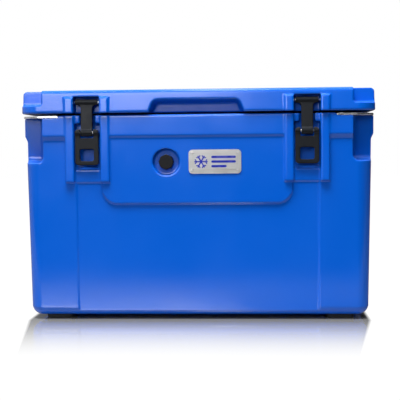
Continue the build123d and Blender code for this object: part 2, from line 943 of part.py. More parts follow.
def badge_plate():
    face = badge_plane(badge_x, badge_z)
    plate = extrude(face * RectangleRounded(badge_length, badge_height, badge_corner), amount=badge_thickness)
    for x, z in rivet_spots():
        plate = plate - badge_plane(x, z) * Cylinder(rivet_radius + rivet_clearance, 4 * badge_thickness)
    return plate


def badge_rivets():
    rivets = []
    for x, z in rivet_spots():
        shank_length = rivet_depth - rivet_tip_gap + badge_thickness
        shank = Pos(0, 0, badge_thickness - shank_length / 2) * Cylinder(rivet_radius, shank_length)
        head = Pos(0, 0, badge_thickness + rivet_head_height / 2) * Cylinder(rivet_head, rivet_head_height)
        head = fillet(head.faces().sort_by(Axis.Z)[-1].edges(), rivet_head_height * 0.8)
        rivets.append(badge_plane(x, z) * (shank + head))
    return Compound(children=rivets)


# A plain snow crystal and three bars, raised from the plate
def snow_crystal():
    mark = Rectangle(crystal_span, crystal_arm)
    for turn in (60, 120):
        mark = mark + Rot(0, 0, turn) * Rectangle(crystal_span, crystal_arm)
    for turn in range(0, 360, 60):
        for lean in (-branch_angle, branch_angle):
            twig = Pos(branch_length / 2, 0) * Rectangle(branch_length, branch_width)
            mark = mark + Rot(0, 0, turn) * Pos(branch_start, 0) * Rot(0, 0, lean) * twig
    return mark


def badge_emblem():
    shapes = [Pos(crystal_x, 0) * snow_crystal()]
    for step, length in enumerate(bar_lengths):
        spot = Pos(bars_start + length / 2, bar_step * (1 - step))
        shapes.append(spot * RectangleRounded(length, bar_width, bar_width * 0.48))
    top = badge_plane(badge_x, badge_z).offset(badge_thickness)
    solids = []
    for shape in shapes:
        solids += extrude(top * shape, amount=emblem_relief).solids()
    return Compound(children=solids)


# ---- Vent and drain ----


def vent_bushing():
    spot = (vent_x, vent_z)
    face = -vent_recess_back
    flange = bar("Y", vent_flange_radius, spot, face - vent_flange, face)
    tube = bar("Y", vent_tube_radius, spot, face - 1, vent_inner_y() + vent_nut_thickness + tube_end)
    return flange + tube - bar("Y", vent_stem_radius + fit_gap, spot, face - 20, 0)


def vent_nut():
    start = vent_inner_y()
    end = start + vent_nut_thickness
    return hex_nut("Y", vent_nut_across, vent_tube_radius + fit_gap, (vent_x, vent_z), start, end)


def vent_face():
    return -vent_recess_back - vent_flange


def vent_seal():
    back = vent_face() - face_gap
    ring = bar("Y", vent_seal_radius, (vent_x, vent_z), back - vent_seal_thickness, back)
    return ring - bar("Y", vent_stem_radius + fit_gap, (vent_x, vent_z), back - 20, back + 20)


def vent_knob():
    back = vent_face() - 2 * face_gap - vent_seal_thickness
    outline = RegularPolygon(vent_knob_radius * vent_knob_flat, vent_knob_sides, major_radius=False)
    head = Pos(vent_x, back - vent_knob_thickness / 2, vent_z) * Rot(90, 0, 0) * extrude(
        outline, amount=vent_knob_thickness / 2, both=True
    )
    head = head & bar("Y", vent_knob_radius, (vent_x, vent_z), back - vent_knob_thickness, back)
    head = fillet(head.faces().sort_by(Axis.Y)[0].edges(), vent_knob_round)
    stem = bar("Y", vent_stem_radius, (vent_x, vent_z), back - 1, vent_inner_y() - 2)
    return head + stem


def drain_bushing():
    spot = (0, drain_z)
    face = drain_floor_x()
    flange = bar("X", drain_flange_radius, spot, face, face + drain_flange)
    tube = bar("X", drain_tube_radius, spot, drain_inner_x() - drain_nut_thickness - tube_end, face + 1)
    return flange + tube - bar("X", drain_bore_radius, spot, 0, face + 20)


def drain_nut():
    end = drain_inner_x()
    start = end - drain_nut_thickness
    return hex_nut("X", drain_nut_across, drain_tube_radius + fit_gap, (0, drain_z), start, end)


def drain_face():
    return drain_floor_x() + drain_flange


def drain_seal():
    start = drain_face() + face_gap
    ring = bar("X", drain_seal_radius, (0, drain_z), start, start + drain_seal_thickness)
    return ring - bar("X", drain_bore_radius, (0, drain_z), start - 5, start + 20)


def drain_plug():
    start = drain_face() + 2 * face_gap + drain_seal_thickness
    cap = bar("X", drain_cap_radius, (0, drain_z), start, start + drain_cap_thickness)
    cap = fillet(cap.faces().sort_by(Axis.X)[-1].edges(), drain_cap_round)
    for turn in range(drain_cap_grips):
        angle = math.radians(360 / drain_cap_grips * turn)
        spot = (drain_cap_radius * math.cos(angle), drain_z + drain_cap_radius * math.sin(angle))
        cap = cap - bar("X", drain_cap_grip_radius, spot, start - 1, start + drain_cap_thickness + 1)
    stem = bar("X", drain_bore_radius - fit_gap, (0, drain_z), start - drain_stem, start + 1)
    return cap + stem


# ---- Lock plates, hinges, feet ----


def lock_plate(side):
    plate = plate_outline(plate_margin)
    plate = plate - bar("Z", shackle_radius, (shackle_x, shackle_y), plate_bottom - 1, rim_height)
    for x, y in plate_screw_spots:
        plate = plate - bar("Z", plate_screw_radius + pin_clearance, (x, y), plate_bottom - 1, rim_height)
    return plate if side > 0 else mirror(plate, about=Plane.YZ)


def plate_screws(side):
    screws = []
    for x, y in plate_screw_spots:
        shank = bar("Z", plate_screw_radius, (side * x, y), plate_top - plate_screw_length, plate_top)
        head = bar("Z", plate_screw_head, (side * x, y), plate_top, plate_top + plate_screw_head_height)
        head = fillet(head.faces().sort_by(Axis.Z)[-1].edges(), plate_screw_head_height / 2)
        screws.append(shank + head)
    return Compound(children=screws)


def hinge_rod(side):
    middle = side * hinge_x
    reach = hinge_half - cap_thickness
    return bar("X", rod_radius, (hinge_y, hinge_z), middle - reach, middle + reach)


def hinge_caps(side):
    caps = []
    for end in (-1, 1):
        face = side * hinge_x + end * hinge_half
        caps.append(
            bar("X", cap_radius - rod_clearance, (hinge_y, hinge_z), face - end * cap_thickness, face)
        )
    return Compound(children=caps)


def foot(x, y):
    pad = upright_block(foot_size / 2, foot_size / 2, foot_corner, 0, tub_base + foot_seat)
    pad = fillet(pad.faces().sort_by(Axis.Z)[0].edges(), foot_edge_round)
    pad = pad - Cylinder(foot_screw_head + foot_screw_room, 2 * (foot_screw_recess + foot_screw_head_height))
    pad = pad - Cylinder(foot_screw_radius + foot_screw_clearance, 60)
    return Pos(x, y, 0) * pad


def foot_screw_top():
    return foot_screw_recess + foot_screw_head_height + foot_screw_length


def foot_screws():
    screws = []
    for x, y in foot_spots():
        head_top = foot_screw_recess + foot_screw_head_height
        head = bar("Z", foot_screw_head, (x, y), foot_screw_recess, head_top)
        shank = bar("Z", foot_screw_radius, (x, y), foot_screw_recess + 1, foot_screw_top())
        screws.append(head + shank)
    return Compound(children=screws)


os.makedirs("parts", exist_ok=True)

nodes = {
    "tub_shell": tub_skin(),
    "tub_foam": tub_cavity(foam_clearance),
    "lid_shell": lid_skin_shape(),
    "lid_foam": lid_cavity(foam_clearance),
    "lid_gasket": gasket_block(0.0, rim_height + gasket_clearance, lid_bottom + gasket_groove),
    "badge_plate": badge_plate(),
    "badge_emblem": badge_emblem(),
    "badge_rivets": badge_rivets(),
    "vent_bushing": vent_bushing(),
    "vent_nut": vent_nut(),
    "vent_seal": vent_seal(),
    "vent_knob": vent_knob(),
    "drain_bushing": drain_bushing(),
    "drain_nut": drain_nut(),
    "drain_seal": drain_seal(),
    "drain_plug": drain_plug(),
    "foot_screws": foot_screws(),
}
for side, word in ((-1, "left"), (1, "right")):
    nodes["latch_link_" + word] = latch_link(side)
    nodes["latch_lever_" + word] = latch_lever(side)
    nodes["latch_lid_pin_" + word] = latch_pin(side, (head_y, head_z), lid_pin_half)
    nodes["latch_lever_pin_" + word] = latch_pin(side, (knuckle_y, knuckle_z), lever_half - 0.3)
    nodes["lock_plate_" + word] = lock_plate(side)
    nodes["lock_plate_screws_" + word] = plate_screws(side)
    nodes["hinge_rod_" + word] = hinge_rod(side)
    nodes["hinge_caps_" + word] = hinge_caps(side)
for (x, y), word in zip(foot_spots(), ("front_left", "front_right", "rear_left", "rear_right")):
    nodes["foot_" + word] = foot(x, y)

for name, shape in nodes.items():
    export_step(shape, "parts/" + name + ".step")
    print(name, round(shape.volume))
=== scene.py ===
import math

import bmesh
import bpy
import numpy as np
from mathutils import Matrix, Vector


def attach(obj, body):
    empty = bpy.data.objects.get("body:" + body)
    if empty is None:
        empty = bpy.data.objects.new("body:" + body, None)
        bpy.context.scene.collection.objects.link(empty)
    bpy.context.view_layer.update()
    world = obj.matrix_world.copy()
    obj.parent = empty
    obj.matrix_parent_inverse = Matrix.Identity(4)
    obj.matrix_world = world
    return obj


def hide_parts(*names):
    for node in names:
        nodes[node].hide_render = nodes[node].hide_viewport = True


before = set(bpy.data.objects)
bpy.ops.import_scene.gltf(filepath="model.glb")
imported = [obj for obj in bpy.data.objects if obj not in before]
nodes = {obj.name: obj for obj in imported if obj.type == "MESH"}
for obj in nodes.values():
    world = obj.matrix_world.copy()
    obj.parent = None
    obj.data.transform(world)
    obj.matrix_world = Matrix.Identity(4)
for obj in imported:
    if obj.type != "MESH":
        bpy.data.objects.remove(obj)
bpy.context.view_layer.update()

scene = bpy.context.scene


def linkObject(name, mesh):
    piece = bpy.data.objects.new(name, mesh)
    scene.collection.objects.link(piece)
    return piece


def aimedAt(thing, target):
    thing.rotation_euler = (Vector(target) - thing.location).to_track_quat("-Z", "Y").to_euler()


# Camera: a long lens a little above the middle of the chest and right of it
cameraSettings = {
    "spot": (0.1117, -2.0584, 0.3353),
    "yaw": 3.264,
    "pitch": -3.0,
    "roll": 0.548,
    "lens": 85.45,
    "sensor": 36,
}


def makeCamera(settings):
    camera = bpy.data.objects.new("studioCamera", bpy.data.cameras.new("studioCamera"))
    camera.data.lens = settings["lens"]
    camera.data.sensor_width = settings["sensor"]
    turn = Matrix.Rotation(math.radians(settings["yaw"]), 4, "Z")
    turn = turn @ Matrix.Rotation(math.radians(settings["pitch"]), 4, "X")
    turn = turn @ Matrix.Rotation(math.radians(settings["roll"]), 4, "Y")
    turn = turn @ Matrix.Rotation(math.radians(90), 4, "X")
    camera.matrix_world = Matrix.Translation(settings["spot"]) @ turn
    scene.collection.objects.link(camera)
    scene.camera = camera


makeCamera(cameraSettings)


# Node helpers
def newGroup(name, inputs, outputs):
    group = bpy.data.node_groups.new(name, "ShaderNodeTree")
    for label, kind, value in inputs:
        socket = group.interface.new_socket(name=label, in_out="INPUT", socket_type=kind)
        socket.default_value = value
    for label, kind in outputs:
        group.interface.new_socket(name=label, in_out="OUTPUT", socket_type=kind)
    start = group.nodes.new("NodeGroupInput")
    end = group.nodes.new("NodeGroupOutput")
    return group, start, end


def addNode(tree, kind, values=None, links=None, **traits):
    node = tree.nodes.new(kind)
    for key, value in traits.items():
        setattr(node, key, value)
    for key, value in (values or {}).items():
        node.inputs[key].default_value = value
    for key, source in (links or {}).items():
        tree.links.new(source, node.inputs[key])
    return node


def addMath(tree, operation, first, second=None, clamp=False):
    node = tree.nodes.new("ShaderNodeMath")
    node.operation = operation
    node.use_clamp = clamp
    for index, value in enumerate((first, second)):
        if value is None:
            continue
        if isinstance(value, (int, float)):
            node.inputs[index].default_value = value
        else:
            tree.links.new(value, node.inputs[index])
    return node.outputs[0]


def addRamp(tree, source, stops):
    node = tree.nodes.new("ShaderNodeValToRGB")
    tree.links.new(source, node.inputs["Fac"])
    ramp = node.color_ramp
    while len(ramp.elements) < len(stops):
        ramp.elements.new(0.5)
    for element, (place, shade) in zip(ramp.elements, stops):
        element.position = place
        element.color = (shade, shade, shade, 1)
    return node.outputs["Color"]


# Inputs 0, 6 and 7 of a colour mix are its factor and its two colours
def addMix(tree, factor, first, second):
    node = tree.nodes.new("ShaderNodeMix")
    node.data_type = "RGBA"
    for index, value in ((0, factor), (6, first), (7, second)):
        if isinstance(value, (int, float, tuple)):
            node.inputs[index].default_value = value
        else:
            tree.links.new(value, node.inputs[index])
    return node.outputs[2]


# Rubbed edges: where the surface is convex, broken up by noise
def makeEdgeRub():
    group, start, end = newGroup(
        "edgeRub",
        [
            ("Reach", "NodeSocketFloat", 0.54),
            ("Width", "NodeSocketFloat", 0.12),
            ("Patch Scale", "NodeSocketFloat", 60.0),
            ("Amount", "NodeSocketFloat", 0.5),
        ],
        [("Mask", "NodeSocketFloat")],
    )
    shape = addNode(group, "ShaderNodeNewGeometry")
    place = addNode(group, "ShaderNodeTexCoord")
    patch = addNode(
        group, "ShaderNodeTexNoise", {"Detail": 5.0, "Roughness": 0.65},
        {"Vector": place.outputs["Object"], "Scale": start.outputs["Patch Scale"]},
    )
    edge = addNode(
        group, "ShaderNodeMapRange", {"To Min": 0.0, "To Max": 1.0},
        {"Value": shape.outputs["Pointiness"], "From Min": start.outputs["Reach"]},
    )
    top = addMath(group, "ADD", start.outputs["Reach"], start.outputs["Width"])
    group.links.new(top, edge.inputs["From Max"])
    broken = addRamp(group, patch.outputs["Fac"], [(0.36, 0.0), (0.64, 1.0)])
    both = addMath(group, "MULTIPLY", edge.outputs["Result"], broken)
    scaled = addMath(group, "MULTIPLY", both, start.outputs["Amount"], clamp=True)
    group.links.new(scaled, end.inputs["Mask"])
    return group


# Moulded surface: broad waves, orange peel and fine grain, as one height and one shade
def makeMouldSkin():
    group, start, end = newGroup(
        "mouldSkin",
        [
            ("Wave Scale", "NodeSocketFloat", 9.0),
            ("Peel Scale", "NodeSocketFloat", 190.0),
            ("Grain Scale", "NodeSocketFloat", 1400.0),
            ("Wave", "NodeSocketFloat", 1.0),
            ("Peel", "NodeSocketFloat", 0.1),
            ("Grain", "NodeSocketFloat", 0.02),
        ],
        [("Height", "NodeSocketFloat"), ("Shade", "NodeSocketFloat")],
    )
    place = addNode(group, "ShaderNodeTexCoord")
    layers = []
    for label, detail in (("Wave", 1.0), ("Peel", 2.0), ("Grain", 3.0)):
        noise = addNode(
            group, "ShaderNodeTexNoise", {"Detail": detail, "Roughness": 0.5},
            {"Vector": place.outputs["Object"], "Scale": start.outputs[label + " Scale"]},
        )
        layers.append(addMath(group, "MULTIPLY", noise.outputs["Fac"], start.outputs[label]))
    height = addMath(group, "ADD", addMath(group, "ADD", layers[0], layers[1]), layers[2])
    group.links.new(height, end.inputs["Height"])
    shade = addNode(
        group, "ShaderNodeTexNoise", {"Detail": 6.0, "Roughness": 0.6, "Distortion": 0.4},
        {"Vector": place.outputs["Object"], "Scale": start.outputs["Wave Scale"]},
    )
    group.links.new(shade.outputs["Fac"], end.inputs["Shade"])
    return group


# Fine scuffs: thin lines of one direction, kept only in patches
def makeScuffs():
    group, start, end = newGroup(
        "fineScuffs",
        [
            ("Scale", "NodeSocketFloat", 40.0),
            ("Stretch", "NodeSocketVector", (1.0, 1.0, 14.0)),
            ("Turn", "NodeSocketVector", (0.3, 0.9, 0.2)),
            ("Cover", "NodeSocketFloat", 0.62),
        ],
        [("Mask", "NodeSocketFloat")],
    )
    place = addNode(group, "ShaderNodeTexCoord")
    turned = addNode(
        group, "ShaderNodeMapping", None,
        {
            "Vector": place.outputs["Object"],
            "Rotation": start.outputs["Turn"],
            "Scale": start.outputs["Stretch"],
        },
    )
    lines = addNode(
        group, "ShaderNodeTexNoise", {"Detail": 8.0, "Roughness": 0.75},
        {"Vector": turned.outputs["Vector"], "Scale": start.outputs["Scale"]},
    )
    patches = addNode(
        group, "ShaderNodeTexNoise", {"Scale": 7.0, "Detail": 2.0}, {"Vector": place.outputs["Object"]}
    )
    thin = addRamp(group, lines.outputs["Fac"], [(0.60, 0.0), (0.68, 1.0)])
    kept = addNode(
        group, "ShaderNodeMapRange", {"From Max": 0.8, "To Min": 0.0, "To Max": 1.0},
        {"Value": patches.outputs["Fac"], "From Min": start.outputs["Cover"]},
    )
    both = addMath(group, "MULTIPLY", thin, kept.outputs["Result"], clamp=True)
    group.links.new(both, end.inputs["Mask"])
    return group


# Settled dust: only on surfaces that face up, and more of it in patches
def makeDustFilm():
    group, start, end = newGroup(
        "dustFilm",
        [("Amount", "NodeSocketFloat", 0.2), ("Patch Scale", "NodeSocketFloat", 14.0)],
        [("Mask", "NodeSocketFloat")],
    )
    shape = addNode(group, "ShaderNodeNewGeometry")
    place = addNode(group, "ShaderNodeTexCoord")
    split = addNode(group, "ShaderNodeSeparateXYZ", None, {"Vector": shape.outputs["Normal"]})
    up = addNode(
        group, "ShaderNodeMapRange", {"From Min": 0.55, "From Max": 1.0, "To Min": 0.0, "To Max": 1.0},
        {"Value": split.outputs["Z"]},
    )
    patch = addNode(
        group, "ShaderNodeTexNoise", {"Detail": 7.0, "Roughness": 0.7},
        {"Vector": place.outputs["Object"], "Scale": start.outputs["Patch Scale"]},
    )
    spread = addRamp(group, patch.outputs["Fac"], [(0.3, 0.25), (0.75, 1.0)])
    both = addMath(group, "MULTIPLY", up.outputs["Result"], spread)
    mask = addMath(group, "MULTIPLY", both, start.outputs["Amount"], clamp=True)
    group.links.new(mask, end.inputs["Mask"])
    return group


# Brushed metal: long fine lines along one axis, as a height and a shade
def makeBrushLines():
    group, start, end = newGroup(
        "brushLines",
        [("Stretch", "NodeSocketVector", (1.0, 60.0, 60.0)), ("Scale", "NodeSocketFloat", 30.0)],
        [("Height", "NodeSocketFloat"), ("Shade", "NodeSocketFloat")],
    )
    place = addNode(group, "ShaderNodeTexCoord")
    pulled = addNode(
        group, "ShaderNodeMapping", None,
        {"Vector": place.outputs["Object"], "Scale": start.outputs["Stretch"]},
    )
    lines = addNode(
        group, "ShaderNodeTexNoise", {"Detail": 8.0, "Roughness": 0.7},
        {"Vector": pulled.outputs["Vector"], "Scale": start.outputs["Scale"]},
    )
    cloud = addNode(
        group, "ShaderNodeTexNoise", {"Scale": 45.0, "Detail": 4.0}, {"Vector": place.outputs["Object"]}
    )
    group.links.new(lines.outputs["Fac"], end.inputs["Height"])
    lifted = addMath(group, "ADD", cloud.outputs["Fac"], 0.5)
    mixed = addMath(group, "MULTIPLY", lines.outputs["Fac"], lifted)
    group.links.new(mixed, end.inputs["Shade"])
    return group


edgeRub = makeEdgeRub()
mouldSkin = makeMouldSkin()
fineScuffs = makeScuffs()
dustFilm = makeDustFilm()
brushLines = makeBrushLines()


def newMaterial(name, **fixed):
    material = bpy.data.materials.new(name)
    material.use_nodes = True
    tree = material.node_tree
    shader = tree.nodes["Principled BSDF"]
    for key, value in fixed.items():
        shader.inputs[key.replace("_", " ")].default_value = value
    return material, tree, shader


def useGroup(tree, group, **values):
    node = tree.nodes.new("ShaderNodeGroup")
    node.node_tree = group
    for key, value in values.items():
        node.inputs[key.replace("_", " ")].default_value = value
    return node


def addBump(tree, shader, height, distance, strength):
    bump = addNode(tree, "ShaderNodeBump", {"Strength": strength, "Distance": distance}, {"Height": height})
    tree.links.new(bump.outputs["Normal"], shader.inputs["Normal"])


# A roughness that runs from gloss to dull with a cloudy shade
def addRoughness(tree, shade, gloss, dull, low=0.3, high=0.7):
    spread = addNode(
        tree, "ShaderNodeMapRange",
        {"From Min": low, "From Max": high, "To Min": gloss, "To Max": dull},
        {"Value": shade},
    )
    return spread.outputs["Result"]


def lighter(colour, times):
    return tuple(min(1, part * times) for part in colour[:3]) + (1,)


# Glossy blue polyethylene of the tub and lid
shellPaint = {
    "deep": (0.0004, 0.084, 0.500, 1),
    "bright": (0.0008, 0.096, 0.550, 1),
    "rubbed": (0.060, 0.200, 0.700, 1),
    "dust": (0.30, 0.36, 0.50, 1),
    "gloss": 0.13,
    "dull": 0.22,
    "scuffed": 0.12,
    "bumpDistance": 0.0011,
    "bumpStrength": 0.6,
}


def makeShellPlastic(paint):
    material, tree, shader = newMaterial("shellPlastic", IOR=1.5)
    skin = useGroup(
        tree, mouldSkin,
        Wave_Scale=7.0, Peel_Scale=160.0, Grain_Scale=1500.0, Wave=1.0, Peel=0.02, Grain=0.002,
    )
    rub = useGroup(tree, edgeRub, Reach=0.53, Patch_Scale=70.0, Amount=0.35)
    scuff = useGroup(tree, fineScuffs, Scale=36.0, Cover=0.56)
    dust = useGroup(tree, dustFilm, Amount=0.10)
    colour = addMix(tree, skin.outputs["Shade"], paint["deep"], paint["bright"])
    colour = addMix(tree, rub.outputs["Mask"], colour, paint["rubbed"])
    colour = addMix(tree, dust.outputs["Mask"], colour, paint["dust"])
    tree.links.new(colour, shader.inputs["Base Color"])
    rough = addRoughness(tree, skin.outputs["Shade"], paint["gloss"], paint["dull"])
    scuffed = addMath(tree, "MULTIPLY", scuff.outputs["Mask"], paint["scuffed"])
    rough = addMath(tree, "ADD", rough, scuffed)
    rough = addMath(tree, "ADD", rough, dust.outputs["Mask"], clamp=True)
    tree.links.new(rough, shader.inputs["Roughness"])
    addBump(tree, shader, skin.outputs["Height"], paint["bumpDistance"], paint["bumpStrength"])
    return material


# Near-black moulded plastic: latches, knob, drain fittings and hinge caps
blackPlastic = {
    "dust": (0.16, 0.16, 0.17, 1),
    "lighter": 1.6,
    "dullBy": 0.14,
    "rubbedBy": 0.12,
    "scuffedBy": 0.2,
    "bumpDistance": 0.0003,
    "bumpStrength": 0.7,
}


def makeBlackPlastic(name, colour, worn, gloss, grain, scale):
    material, tree, shader = newMaterial(name, IOR=1.45, Specular_IOR_Level=0.2)
    skin = useGroup(
        tree, mouldSkin,
        Wave_Scale=30.0, Peel_Scale=scale, Grain_Scale=scale * 3, Wave=0.3, Peel=grain, Grain=grain * 0.6,
    )
    rub = useGroup(tree, edgeRub, Reach=0.53, Patch_Scale=220.0, Amount=0.7)
    scuff = useGroup(tree, fineScuffs, Scale=120.0, Cover=0.50)
    dust = useGroup(tree, dustFilm, Amount=0.18, Patch_Scale=60.0)
    shade = addMix(tree, skin.outputs["Shade"], colour, lighter(colour, blackPlastic["lighter"]))
    shade = addMix(tree, rub.outputs["Mask"], shade, worn)
    shade = addMix(tree, dust.outputs["Mask"], shade, blackPlastic["dust"])
    tree.links.new(shade, shader.inputs["Base Color"])
    rough = addRoughness(tree, skin.outputs["Shade"], gloss, gloss + blackPlastic["dullBy"])
    rubbed = addMath(tree, "MULTIPLY", rub.outputs["Mask"], blackPlastic["rubbedBy"])
    scuffed = addMath(tree, "MULTIPLY", scuff.outputs["Mask"], blackPlastic["scuffedBy"])
    rough = addMath(tree, "SUBTRACT", rough, rubbed)
    rough = addMath(tree, "ADD", rough, scuffed, clamp=True)
    tree.links.new(rough, shader.inputs["Roughness"])
    addBump(
        tree, shader, skin.outputs["Height"], blackPlastic["bumpDistance"], blackPlastic["bumpStrength"]
    )
    return material


# Rubber of the feet, seals and gasket
softRubber = {
    "rubbed": (0.07, 0.07, 0.07, 1),
    "dust": (0.20, 0.19, 0.18, 1),
    "lighter": 2.0,
    "dullBy": 0.2,
    "bumpDistance": 0.0003,
    "bumpStrength": 0.6,
}


def makeRubber(name, colour, rough):
    material, tree, shader = newMaterial(name, IOR=1.45, Specular_IOR_Level=0.3)
    skin = useGroup(
        tree, mouldSkin,
        Wave_Scale=50.0, Peel_Scale=600.0, Grain_Scale=2600.0, Wave=0.4, Peel=0.25, Grain=0.3,
    )
    dust = useGroup(tree, dustFilm, Amount=0.3, Patch_Scale=90.0)
    rub = useGroup(tree, edgeRub, Reach=0.52, Patch_Scale=160.0, Amount=0.6)
    shade = addMix(tree, skin.outputs["Shade"], colour, lighter(colour, softRubber["lighter"]))
    shade = addMix(tree, rub.outputs["Mask"], shade, softRubber["rubbed"])
    shade = addMix(tree, dust.outputs["Mask"], shade, softRubber["dust"])
    tree.links.new(shade, shader.inputs["Base Color"])
    spread = addRoughness(tree, skin.outputs["Shade"], rough, rough + softRubber["dullBy"])
    tree.links.new(spread, shader.inputs["Roughness"])
    addBump(tree, shader, skin.outputs["Height"], softRubber["bumpDistance"], softRubber["bumpStrength"])
    return material


# Brushed or turned metal
bareMetal = {
    "rubbedTimes": 1.15,
    "dullBy": 0.16,
    "scuffedBy": 0.15,
    "bumpStrength": 0.5,
}


def makeMetal(name, colour, dark, stretch, scale, gloss, depth):
    material, tree, shader = newMaterial(name, Metallic=1.0)
    brush = useGroup(tree, brushLines, Scale=scale, Stretch=stretch)
    rub = useGroup(tree, edgeRub, Reach=0.53, Patch_Scale=260.0, Amount=0.6)
    scuff = useGroup(tree, fineScuffs, Scale=160.0, Cover=0.48)
    shade = addMix(tree, brush.outputs["Shade"], dark, colour)
    shade = addMix(tree, rub.outputs["Mask"], shade, lighter(colour, bareMetal["rubbedTimes"]))
    tree.links.new(shade, shader.inputs["Base Color"])
    dull = gloss + bareMetal["dullBy"]
    rough = addRoughness(tree, brush.outputs["Shade"], gloss, dull, low=0.25, high=0.75)
    scuffed = addMath(tree, "MULTIPLY", scuff.outputs["Mask"], bareMetal["scuffedBy"])
    rough = addMath(tree, "ADD", rough, scuffed, clamp=True)
    tree.links.new(rough, shader.inputs["Roughness"])
    addBump(tree, shader, brush.outputs["Height"], depth, bareMetal["bumpStrength"])
    return material


# Dark blue enamel of the raised mark on the badge
enamelPaint = {
    "deep": (0.004, 0.012, 0.26, 1),
    "bright": (0.006, 0.022, 0.40, 1),
    "rubbed": (0.10, 0.16, 0.50, 1),
    "rough": 0.55,
    "coat": 0.9,
    "bumpDistance": 0.0001,
    "bumpStrength": 0.5,
}


def makeEnamel(paint):
    material, tree, shader = newMaterial("badgeEnamel", IOR=1.5, Coat_Roughness=0.1)
    skin = useGroup(
        tree, mouldSkin,
        Wave_Scale=80.0, Peel_Scale=900.0, Grain_Scale=3000.0, Wave=0.3, Peel=0.2, Grain=0.1,
    )
    rub = useGroup(tree, edgeRub, Reach=0.54, Patch_Scale=400.0, Amount=0.5)
    shade = addMix(tree, skin.outputs["Shade"], paint["deep"], paint["bright"])
    shade = addMix(tree, rub.outputs["Mask"], shade, paint["rubbed"])
    tree.links.new(shade, shader.inputs["Base Color"])
    rough = addMath(tree, "MULTIPLY", skin.outputs["Shade"], paint["rough"])
    tree.links.new(rough, shader.inputs["Roughness"])
    coat = addMath(tree, "MULTIPLY", skin.outputs["Shade"], paint["coat"])
    tree.links.new(coat, shader.inputs["Coat Weight"])
    addBump(tree, shader, skin.outputs["Height"], paint["bumpDistance"], paint["bumpStrength"])
    return material


# Pale insulating foam, sealed inside the shells
foamPaint = {
    "dark": (0.78, 0.70, 0.48, 1),
    "pale": (0.90, 0.85, 0.66, 1),
    "cellWall": (0.60, 0.52, 0.33, 1),
    "cellScale": 420.0,
    "cellDepth": 0.5,
    "rough": 0.6,
    "roughBy": 0.3,
    "bumpDistance": 0.0006,
    "bumpStrength": 0.8,
}


def makeFoam(paint):
    material, tree, shader = newMaterial("wallFoam", IOR=1.4)
    place = addNode(tree, "ShaderNodeTexCoord")
    cells = addNode(
        tree, "ShaderNodeTexVoronoi", {"Scale": paint["cellScale"]}, {"Vector": place.outputs["Object"]}
    )
    cloud = addNode(
        tree, "ShaderNodeTexNoise", {"Scale": 12.0, "Detail": 5.0}, {"Vector": place.outputs["Object"]}
    )
    shade = addMix(tree, cloud.outputs["Fac"], paint["dark"], paint["pale"])
    cellShare = addMath(tree, "MULTIPLY", cells.outputs["Distance"], paint["cellDepth"])
    shade = addMix(tree, cellShare, shade, paint["cellWall"])
    tree.links.new(shade, shader.inputs["Base Color"])
    varied = addMath(tree, "MULTIPLY", cloud.outputs["Fac"], paint["roughBy"])
    tree.links.new(addMath(tree, "ADD", varied, paint["rough"]), shader.inputs["Roughness"])
    addBump(tree, shader, cells.outputs["Distance"], paint["bumpDistance"], paint["bumpStrength"])
    return material


shellPlastic = makeShellPlastic(shellPaint)
# Black plastics: name, colour, worn edge, gloss, grain height, grain scale
latchPlastic = makeBlackPlastic(
    "latchPlastic", (0.0045, 0.0055, 0.0075, 1), (0.05, 0.052, 0.058, 1), 0.36, 0.5, 700.0
)
fittingPlastic = makeBlackPlastic(
    "fittingPlastic", (0.004, 0.004, 0.005, 1), (0.05, 0.05, 0.052, 1), 0.38, 0.7, 900.0
)
capPlastic = makeBlackPlastic(
    "capPlastic", (0.014, 0.014, 0.016, 1), (0.08, 0.08, 0.08, 1), 0.42, 0.5, 1200.0
)
footRubber = makeRubber("footRubber", (0.010, 0.010, 0.011, 1), 0.62)
sealRubber = makeRubber("sealRubber", (0.014, 0.014, 0.016, 1), 0.50)

# Metals: name, colour, dark of the lines, stretch, scale, gloss, depth of the lines
plateSteel = makeMetal(
    "plateSteel", (0.86, 0.86, 0.86, 1), (0.55, 0.55, 0.56, 1), (2.0, 50.0, 50.0), 26.0, 0.20, 0.00006
)
pinSteel = makeMetal(
    "pinSteel", (0.80, 0.80, 0.82, 1), (0.48, 0.48, 0.50, 1), (70.0, 3.0, 3.0), 30.0, 0.16, 0.00003
)
screwSteel = makeMetal(
    "screwSteel", (0.78, 0.78, 0.80, 1), (0.42, 0.42, 0.44, 1), (8.0, 8.0, 8.0), 90.0, 0.22, 0.00003
)
badgeMetal = makeMetal(
    "badgeMetal", (0.78, 0.78, 0.77, 1), (0.46, 0.46, 0.45, 1), (1.5, 70.0, 70.0), 24.0, 0.30, 0.00006
)
rivetMetal = makeMetal(
    "rivetMetal", (0.85, 0.85, 0.85, 1), (0.50, 0.50, 0.50, 1), (10.0, 10.0, 10.0), 120.0, 0.24, 0.00003
)
badgeEnamel = makeEnamel(enamelPaint)
wallFoam = makeFoam(foamPaint)
print("materials made")


# Meshes: weld distance, relaxing, corner reach and the weight of large faces in the normals
meshSettings = {
    "weld": 2e-6,
    "relax": 0.5,
    "cornerReach": 0.0006,
    "normalWeight": 50,
    "smallMost": 30000,
    "bevelSegments": 2,
    "bevelAngle": 40,
}


def applyModifiers(piece):
    bpy.context.view_layer.update()
    graph = bpy.context.evaluated_depsgraph_get()
    mesh = bpy.data.meshes.new_from_object(piece.evaluated_get(graph))
    piece.modifiers.clear()
    piece.data = mesh
    return piece


